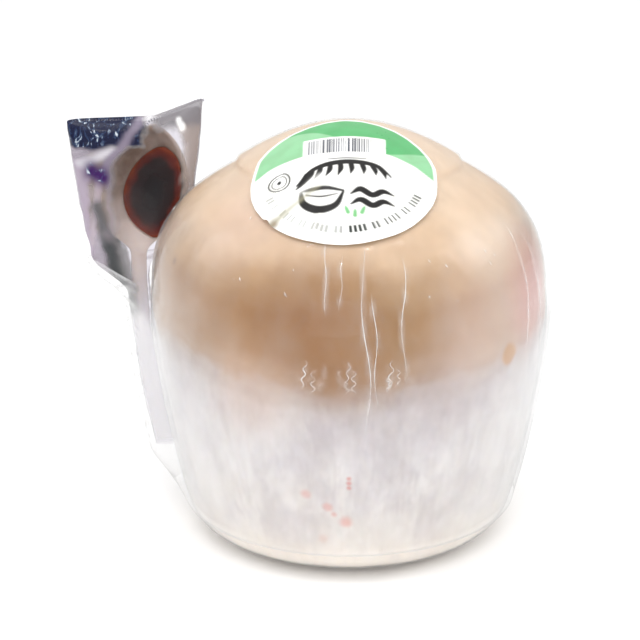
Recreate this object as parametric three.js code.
// A trimmed young coconut in stretch film, with a round label on its shoulder and a spoon of palm syrup in a
// clear sachet that a second turn of film holds against its side.
// Millimetres, +Z up. The origin is the centre of the flat spot that the fruit stands on. The label faces -Y
// and the spoon stands on the -X side.
import * as THREE from "three";

// The fruit: a husk cup below, a dome of bare shell above and a raised crown on top.
const cupHeight = 100; // from the flat spot to the widest line
const domeHeight = 56; // from the widest line to the top
const girthRadius = 75; // at the widest line
const heelRadius = 62; // where the cup's side turns in to the underside
const heelHeight = 12;
const restRadius = 38; // the flat spot underneath
const crownRadius = 41; // the raised crown's edge
const crownRise = 14; // from the crown's edge to the top
const crownStep = 2; // the little drop at the crown's edge
const rimStep = 1.4; // how far the husk stands out from the shell
const rimDrop = 6; // the husk's rim lies this far below the widest line
const rimWave = 9; // the rim dips this much at the front
const lobeDepth = 0.8; // the shell is faintly three-sided
const facetCount = 12; // knife cuts round the husk
const facetDepth = 1.5;

// The films, each thicker than the real film so that it is a solid.
const filmThickness = 0.4;
const filmGap = 0.35; // between any two pieces that lie on each other
const filmEase = 0.15; // more where a piece is laid over a film's folds
const hemRadius = 49; // the wrap ends this far out, round the flat spot
const bandDrop = 1; // the second film's upper edge lies this far below the widest line, at the sides
const bandDip = 11; // and this much lower at the front and back
const bandBottom = 12;
const bandSlack = 2.5; // how much of a hollow's height the second film bridges

// The label.
const labelRadius = 34.5;
const labelThickness = 0.3;
const labelReach = 35; // its centre lies this far out from the fruit's axis
const labelAside = 2; // and this far towards the spoon
const labelLift = 1; // it bridges the crown's edge by this much

// The spoon, in its own frame: +Z towards the bowl's tip, -Y the hollow side, origin at the neck.
const bowlLength = 48;
const bowlWidth = 36;
const bowlDepth = 9;
const handleLength = 76;
const handleWidth = 7;
const neckWidth = 6;
const handleRib = 0.8; // the handle is this much thicker down its middle
const spoonWall = 1.3;
const spoonBow = 8; // the films bow the spoon sideways by this much over its length
const syrupLevel = 4.5; // from the rim's plane down to the syrup, at the bowl's middle
const syrupTilt = 4.5; // it has run to the side by the fruit: this much nearer the rim there
const syrupRun = 2.5; // and towards the neck
const syrupEdge = 0.4; // how thick the syrup is at its edge
const sealThickness = 0.3;
const neckRise = 1.5; // the neck stands this far above the widest line
const neckBack = 27; // and this far behind the fruit's axis
const spoonPitch = THREE.MathUtils.degToRad(14); // the bowl leans back
const spoonTurn = THREE.MathUtils.degToRad(8); // the hollow side turns this far towards the fruit
const spoonLean = THREE.MathUtils.degToRad(-2); // the bowl leans out from the fruit

// The sachet round the spoon.
const innerEase = 2.5; // beside the bowl, on the fruit's side
const outerEase = 16; // beside the bowl, on the free side
const topTaper = 0.16; // the fruit's side narrows by this share towards the top
const sachetTaper = 0.55; // the free side's width at the neck, as a share of its width at the top
const sachetHeadroom = 3; // above the bowl's tip
const sachetTail = 3; // below the handle's end
const sachetWall = 0.3;
const sachetSlack = 0.9; // from the spoon to the sachet
const sealStrip = 2; // the welded strip along the top
const stripThickness = 1.4;
const topRise = 9; // the top edge's inner corner stands this much higher

const COLUMNS = 48;
const FRONT = -Math.PI / 2;
const fruitHeight = cupHeight + domeHeight;
const rimHeight = cupHeight - rimDrop;
const onWrap = 2 * filmGap + filmThickness; // the height above the fruit of a piece that lies on the wrap

const bump = (x, width) => Math.exp(-((x / width) ** 2));
const smooth = THREE.MathUtils.smoothstep;
const lerp = THREE.MathUtils.lerp;
const flatPoint = (x, y) => new THREE.Vector2(x, y);

// ---- the fruit's shape

// Its outline, from the top to the middle of the flat spot, as (radius, height).
function fruitOutline() {
  const edgeHeight = fruitHeight - crownRise;
  const ledge = flatPoint(crownRadius + crownStep / 2, edgeHeight - crownStep);
  const shellRadius = girthRadius - rimStep;
  const crown = new THREE.QuadraticBezierCurve(
    flatPoint(0, fruitHeight),
    flatPoint(crownRadius * 0.45, fruitHeight),
    flatPoint(crownRadius, edgeHeight),
  );
  const dome = new THREE.CubicBezierCurve(
    ledge,
    flatPoint(lerp(ledge.x, shellRadius, 0.66), lerp(ledge.y, rimHeight, 0.25)),
    flatPoint(shellRadius, lerp(ledge.y, rimHeight, 0.45)),
    flatPoint(shellRadius, rimHeight + 1.5),
  );
  const side = new THREE.QuadraticBezierCurve(
    flatPoint(girthRadius, rimHeight - 1.5),
    flatPoint(lerp(girthRadius, heelRadius, 0.15), lerp(rimHeight, heelHeight, 0.5)),
    flatPoint(heelRadius, heelHeight),
  );
  const heel = new THREE.QuadraticBezierCurve(
    flatPoint(heelRadius, heelHeight),
    flatPoint(lerp(heelRadius, restRadius, 0.14), 0),
    flatPoint(restRadius, 0),
  );
  const below = [...side.getPoints(7), ...heel.getPoints(4).slice(1), flatPoint(0, 0)];
  return [...crown.getPoints(6), ...dome.getPoints(8), ...below];
}

// The same outline moved outwards by an offset, at right angles to itself.
function offsetOutline(offset) {
  const line = fruitOutline();
  return line.map((point, i) => {
    const before = line[Math.max(i - 1, 0)];
    const after = line[Math.min(i + 1, line.length - 1)];
    const along = flatPoint(after.x - before.x, after.y - before.y).normalize();
    if (point.x === 0) return flatPoint(0, point.y + (i === 0 ? offset : -offset));
    return flatPoint(point.x - along.y * offset, Math.max(point.y + along.x * offset, -offset));
  });
}

const lobe = (angle, height) => lobeDepth * Math.cos(3 * (angle - FRONT)) * smooth(height, 20, cupHeight);

// Knife cuts: shallow flats down the husk, none of them quite the same width.
function facet(angle, height) {
  const turn = (angle + 0.1 * Math.sin(2 * angle + 1)) * (facetCount / (2 * Math.PI));
  const within = 2 * (turn - Math.floor(turn)) - 1;
  const fade = smooth(height, 4, 25) * (1 - smooth(height, rimHeight - 14, rimHeight));
  return facetDepth * (1 - within ** 2) * fade;
}

// The husk's rim dips at the front.
function rimShift(angle, height) {
  const dip = bump(angle - FRONT, 1.3) + bump(angle - FRONT - 2 * Math.PI, 1.3);
  return -rimWave * dip * bump(height - rimHeight, 24);
}

// A point of an outline, carried to an angle round the axis. Films are pulled straight over the knife cuts.
function fruitPoint(point, angle, cut = 0) {
  const share = Math.min(point.x / restRadius, 1);
  const radius = point.x + share * (lobe(angle, point.y) - cut * facet(angle, point.y));
  const height = point.y + rimShift(angle, point.y);
  return new THREE.Vector3(radius * Math.cos(angle), radius * Math.sin(angle), height);
}

// How far out an outline reaches at a height and an angle, and below zero above its top.
function reachAt(outline, height, angle) {
  const rows = outline.map((point) => fruitPoint(point, angle));
  if (height >= rows[0].z) return rows[0].z - height;
  let reach = 0;
  for (let i = 1; i < rows.length; i++) {
    const [high, low] = [rows[i - 1], rows[i]];
    if (high.z < height || low.z > height || high.z === low.z) continue;
    const share = (high.z - height) / (high.z - low.z);
    reach = Math.max(reach, lerp(Math.hypot(high.x, high.y), Math.hypot(low.x, low.y), share));
  }
  return reach;
}

// ---- solids

// A lathe whose points are then placed one by one: place(row, angle) gives each its position.
function turned(outline, place, columns = COLUMNS) {
  const geometry = new THREE.LatheGeometry(outline, columns);
  const spots = geometry.getAttribute("position");
  for (let i = 0; i < spots.count; i++) {
    const column = Math.floor(i / outline.length) % columns;
    const spot = place(i % outline.length, (2 * Math.PI * column) / columns);
    spots.setXYZ(i, spot.x, spot.y, spot.z);
  }
  return geometry;
}

// A box whose points are then placed one by one: place(across, along, back) takes across from -1 to 1, along
// from 0 to 1, and back as true on the far side.
function slab(across, along, place) {
  const geometry = new THREE.BoxGeometry(1, 1, 1, across, 1, along);
  const spots = geometry.getAttribute("position");
  for (let i = 0; i < spots.count; i++) {
    const spot = place(2 * spots.getX(i), spots.getZ(i) + 0.5, spots.getY(i) > 0);
    spots.setXYZ(i, spot.x, spot.y, spot.z);
  }
  return geometry;
}

function piece(name, geometry, color, roughness, opacity = 1) {
  const material = new THREE.MeshStandardMaterial({ color, roughness, metalness: 0 });
  material.transparent = opacity < 1;
  material.opacity = opacity;
  const mesh = new THREE.Mesh(geometry, material);
  mesh.name = name;
  return mesh;
}

// ---- the coconut and the film round it

function coconut() {
  const outline = fruitOutline().reverse();
  const geometry = turned(outline, (row, angle) => fruitPoint(outline[row], angle, 1));
  return piece("coconut", geometry, 0xd9bd98, 0.55);
}

// The wrap follows the whole fruit and ends in a hem round the flat spot.
function wrapFilm() {
  const skin = (offset) => {
    const line = offsetOutline(offset);
    const last = line.findLastIndex((point) => point.x > hemRadius);
    const share = (line[last].x - hemRadius) / (line[last].x - line[last + 1].x);
    return [...line.slice(0, last + 1), line[last].clone().lerp(line[last + 1], share)];
  };
  const outline = [...skin(filmGap), ...skin(filmGap + filmThickness).reverse()];
  const geometry = turned(outline, (row, angle) => fruitPoint(outline[row], angle));
  return piece("wrap_film", geometry, 0xf4f2f0, 0.12, 0.25);
}

// ---- the label, a disc laid on the wrap

function label() {
  const under = offsetOutline(onWrap + filmEase);
  for (const point of under) point.y += labelLift * bump(point.x - crownRadius, 9);
  const middle = under.findIndex((point) => point.x > labelReach);
  const slope = under[middle].clone().sub(under[middle - 1]).normalize();
  const outward = new THREE.Vector3(0, slope.y, slope.x); // square to the wrap at the label's middle
  const uphill = new THREE.Vector3(0, slope.x, -slope.y);

  // The spot where a line through a point, square to the label, meets the wrap.
  const settle = (from) => {
    let [low, high] = [-25, 25];
    const spot = from.clone();
    for (let i = 0; i < 22; i++) {
      const half = (low + high) / 2;
      spot.copy(from).addScaledVector(outward, half);
      const angle = Math.atan2(spot.y, spot.x);
      if (Math.hypot(spot.x, spot.y) > reachAt(under, spot.z, angle)) high = half;
      else low = half;
    }
    return spot.copy(from).addScaledVector(outward, high);
  };
  const centre = settle(new THREE.Vector3(-labelAside, -labelReach, under[middle].y));

  // A walk over the wrap from the label's middle, so that the disc keeps its size when it is pressed down.
  const walk = (heading, distances) => {
    let spot = centre;
    let walked = 0;
    return distances.map((distance) => {
      while (walked < distance - 1e-6) {
        const step = Math.min(3, distance - walked);
        const trial = settle(spot.clone().addScaledVector(heading, step));
        spot = settle(spot.clone().addScaledVector(heading, (step * step) / trial.distanceTo(spot)));
        walked += step;
      }
      return spot;
    });
  };
  const rings = [0, 0.12, 0.24, 0.36, 0.48, 0.6, 0.7, 0.8, 0.9, 1].map((share) => share * labelRadius);
  const outline = [
    ...rings.map((ring) => flatPoint(ring, 0)),
    ...rings.map((ring) => flatPoint(ring, labelThickness)).reverse(),
  ];
  const walks = new Map();
  const place = (row, angle) => {
    const heading = new THREE.Vector3(Math.cos(angle), 0, 0).addScaledVector(uphill, Math.sin(angle));
    if (!walks.has(angle)) walks.set(angle, walk(heading, rings));
    const spot = walks.get(angle)[rings.indexOf(outline[row].x)];
    return spot.clone().addScaledVector(outward, outline[row].y);
  };
  return piece("label", turned(outline, place, 32), 0xf6f7f2, 0.4);
}

// ---- the spoon

// Half its width at a height above the neck: an egg-shaped bowl and a long handle.
function halfWidth(height) {
  if (height < 0) return lerp(neckWidth, handleWidth, smooth(-height, 0, handleLength)) / 2;
  const share = Math.min(height / bowlLength, 1);
  const egg = Math.max(0, Math.sin(Math.PI * share ** 0.9)) ** 0.62;
  return Math.max((bowlWidth / 2) * egg, (neckWidth / 2) * (1 - smooth(share, 0, 0.5)), 1);
}

// How deep the bowl is below its rim, at a share of its half width and a height.
function hollow(across, height) {
  const share = THREE.MathUtils.clamp(height / bowlLength, 0, 1);
  return bowlDepth * Math.sin(Math.PI * share) ** 0.8 * Math.max(0, 1 - across ** 2);
}

// The bow is greatest midway between the spoon's two ends.
const spoonMiddle = (bowlLength - handleLength) / 2;
const spoonHalf = (bowlLength + handleLength) / 2;
const bow = (height) => -spoonBow * (1 - ((height - spoonMiddle) / spoonHalf) ** 2);

// From the spoon's frame to the object's, for a neck at a distance from the fruit's axis.
const neckHeight = cupHeight + neckRise;
function standing(x, y, z, distance) {
  const spot = new THREE.Vector3(x + bow(z), y, z);
  spot.applyEuler(new THREE.Euler(-spoonPitch, spoonLean, spoonTurn, "YXZ"));
  return spot.add(new THREE.Vector3(-distance, neckBack, neckHeight));
}

// The spoon stands as near the fruit as its edge allows, with the sachet between them.
const lidFront = sealThickness + filmGap;
const spoonClear = offsetOutline(onWrap + filmGap + sachetWall + sachetSlack);
const neckDistance = Math.max(
  ...[...Array(61).keys()].map((i) => {
    const height = lerp(-handleLength, bowlLength, i / 60);
    const edge = standing(halfWidth(height), -lidFront, height, 0);
    const reach = reachAt(spoonClear, edge.z, Math.PI);
    return edge.x + Math.sqrt(Math.max(0, reach ** 2 - edge.y ** 2));
  }),
);
const atSpoon = (x, y, z) => standing(x, y, z, neckDistance);

function spoon() {
  const place = (across, along, back) => {
    const height = lerp(-handleLength, bowlLength, along);
    const rib = handleRib * (1 - across ** 2) * smooth(-height, 0, 6) * (back ? 1 : 0);
    const depth = hollow(across, height) + rib + (back ? spoonWall : 0);
    return atSpoon(across * halfWidth(height), depth, height);
  };
  return piece("spoon", slab(12, 48, place), 0xcdc3b6, 0.35);
}

// The syrup's surface is a plane that leans in the bowl, and it ends where that plane meets the hollow.
function syrup() {
  const levelAt = (height) => syrupLevel + syrupRun * (height / bowlLength - 0.5);
  const edgesAt = (height) => {
    const middle = syrupTilt / (2 * hollow(0, height));
    const edge = (levelAt(height) + syrupEdge + 2 * filmGap) / hollow(0, height);
    const spread = Math.sqrt(Math.max(0, middle ** 2 + 1 - edge));
    return [middle - spread, Math.min(middle + spread, 0.84)];
  };
  const heights = [...Array(199).keys()].map((i) => ((i + 1) / 200) * bowlLength);
  const wet = heights.filter((height) => edgesAt(height)[1] - edgesAt(height)[0] > 0.15);
  const place = (across, along, back) => {
    const height = lerp(wet[0], wet.at(-1), along);
    const [low, high] = edgesAt(height);
    const share = lerp(low, high, (across + 1) / 2);
    const surface = Math.max(levelAt(height) - syrupTilt * share, filmGap);
    const floor = Math.max(hollow(share, height) - 2 * filmGap, surface + syrupEdge / 2);
    return atSpoon(share * halfWidth(height), back ? floor : surface, height);
  };
  return piece("syrup", slab(12, 18, place), 0x1c0a05, 0.2);
}

// A thin lid is sealed over the bowl.
function seal() {
  const place = (across, along, back) => {
    const height = bowlLength * lerp(0.04, 1, along);
    return atSpoon(across * halfWidth(height), -filmGap - (back ? 0 : sealThickness), height);
  };
  return piece("spoon_seal", slab(6, 16, place), 0xe6e2de, 0.1, 0.3);
}

// ---- the sachet: its welded top stands free, and its lower end is open and gathered round the handle

const sachetAbove = bowlLength + sachetHeadroom;
const sachetBelow = handleLength + sachetTail;
const stripStart = sachetAbove - sealStrip;

function sachetHalfWidth(height, inner) {
  const snug = halfWidth(Math.min(height, 0)) + sachetSlack + sachetWall;
  const narrows = 1 - topTaper * smooth(height, 0.7 * bowlLength, sachetAbove);
  if (inner) return lerp(snug, (bowlWidth / 2 + innerEase) * narrows, smooth(height, -8, 12));
  const taper = lerp(sachetTaper, 1, THREE.MathUtils.clamp(height / sachetAbove, 0, 1));
  return lerp(snug, (bowlWidth / 2 + outerEase) * taper, smooth(height, -18, -2));
}

// It is thickest over the bowl's hollow, and closes to the welded strip above the bowl's tip.
const sachetMiddle = (height) => (hollow(0, height) + spoonWall - lidFront) / 2 + handleRib / 2;
function sachetHalfThickness(height) {
  const contents = 1.24 * hollow(0, height) + spoonWall + lidFront + handleRib;
  const body = contents / 2 + 2 * sachetSlack + sachetWall;
  return lerp(body, stripThickness / 2, smooth(height, stripStart - 0.6, stripStart + 0.5));
}

function sachet() {
  const below = [-sachetBelow, -sachetBelow * 0.62, -20, -17, -14, -11, -8, -5, -2];
  const above = [0.02, 0.08, 0.14, 0.2, 0.28, 0.38, 0.5, 0.66, 0.82, 0.94];
  const inner = [...below, ...above.map((share) => share * bowlLength), stripStart];
  const heights = [...inner, stripStart + 0.5, sachetAbove];
  const outline = [
    { height: inner.at(-1), wall: sachetWall, pole: true },
    ...inner.map((height) => ({ height, wall: sachetWall })).reverse(),
    ...heights.map((height) => ({ height, wall: 0 })),
    { height: sachetAbove, wall: 0, pole: true },
  ];
  const clear = offsetOutline(onWrap + filmEase);
  const place = (row, angle) => {
    const { height, wall, pole } = outline[row];
    const size = pole ? 0 : 1;
    const boxy = lerp(1, 0.6, smooth(height, -2, 8)); // a full oval round the handle, squarer round the bowl
    const square = (value) => Math.sign(value) * Math.abs(value) ** boxy;
    const [across, out] = [square(Math.cos(angle)), square(Math.sin(angle))];
    const x = size * (sachetHalfWidth(height, across > 0) - wall) * across;
    const thickness = size * (sachetHalfThickness(height) - wall) * out;
    const corner = Math.max(0, x / (bowlWidth / 2 + innerEase)) ** 1.3;
    const rise = topRise * smooth(height, bowlLength / 2, sachetAbove) * corner;
    const spot = atSpoon(x, sachetMiddle(height) + thickness, height + rise);
    // Where the fruit is in the way, the sachet lies on its wrap.
    const reach = reachAt(clear, spot.z, Math.atan2(spot.y, spot.x)) + wall;
    const distance = Math.hypot(spot.x, spot.y);
    if (distance < reach) spot.set(spot.x * (reach / distance), spot.y * (reach / distance), spot.z);
    return spot;
  };
  const rough = outline.map(({ height, pole }) => flatPoint(pole ? 0 : 20, height));
  return piece("sachet", turned(rough, place, 32), 0xcfcbd4, 0.1, 0.3);
}

// ---- the second film: it runs round the fruit and out over the sachet

// A circle joined to a small round by two straight stretches, as a film pulled tight is.
function stretchedRadius(circle, centre, round, off) {
  if (centre + round <= circle + 0.01) return circle;
  const open = Math.acos((circle - round) / centre);
  const turn = Math.abs(Math.atan2(Math.sin(off), Math.cos(off)));
  if (turn >= open) return circle;
  const touch = Math.atan2(round * Math.sin(open), centre + round * Math.cos(open));
  if (turn >= touch) return circle / Math.cos(open - turn);
  return centre * Math.cos(turn) + Math.sqrt(round ** 2 - (centre * Math.sin(turn)) ** 2);
}

function bandFilm() {
  const wrap = offsetOutline(onWrap);
  const foot = neckHeight - sachetBelow; // the sachet's lower end
  const rows = 20;
  const shares = [...Array(rows + 1).keys()].map((i) => (i / rows) ** 0.7); // closer towards the top
  const outline = [
    ...shares.map((share) => ({ share, offset: 0 })).reverse(),
    ...shares.map((share) => ({ share, offset: filmThickness })),
  ];
  outline.push(outline[0]);
  const ridge = atSpoon(0, 0, -handleLength / 2);
  const ridgeAngle = Math.atan2(ridge.y, ridge.x);
  const place = (row, turn) => {
    const angle = ridgeAngle + turn - 0.75 * Math.sin(turn); // more columns near the sachet
    const { share, offset } = outline[row];
    const top = cupHeight - bandDrop - bandDip * Math.sin(angle) ** 2;
    const height = lerp(bandBottom, top, share);
    const spans = [height - bandSlack, height, height + bandSlack];
    const circle = Math.max(...spans.map((span) => reachAt(wrap, span, angle))) + filmEase;
    // Inside the ridge the sachet's outer edge is a round of its own half thickness.
    const rounds = spans.map((span) => {
      const along = span - neckHeight;
      const half = sachetHalfThickness(along);
      const eye = atSpoon(half - sachetHalfWidth(along, false), sachetMiddle(along), along);
      return { eye, round: half + filmGap + 3 * filmEase, reach: Math.hypot(eye.x, eye.y) + half };
    });
    const { eye, round } = rounds.reduce((most, next) => (next.reach > most.reach ? next : most));
    const centre = lerp(circle - round, Math.hypot(eye.x, eye.y), smooth(height, foot - 18, foot - 2));
    const radius = stretchedRadius(circle, centre, round, angle - Math.atan2(eye.y, eye.x)) + offset;
    return new THREE.Vector3(radius * Math.cos(angle), radius * Math.sin(angle), height);
  };
  const rough = outline.map(({ share, offset }) => flatPoint(60 + offset, share * 50));
  return piece("band_film", turned(rough, place, 76), 0xf4f2f0, 0.12, 0.25);
}

const object = new THREE.Group();
object.add(coconut(), wrapFilm(), label(), spoon(), syrup(), seal(), sachet(), bandFilm());
export default object;
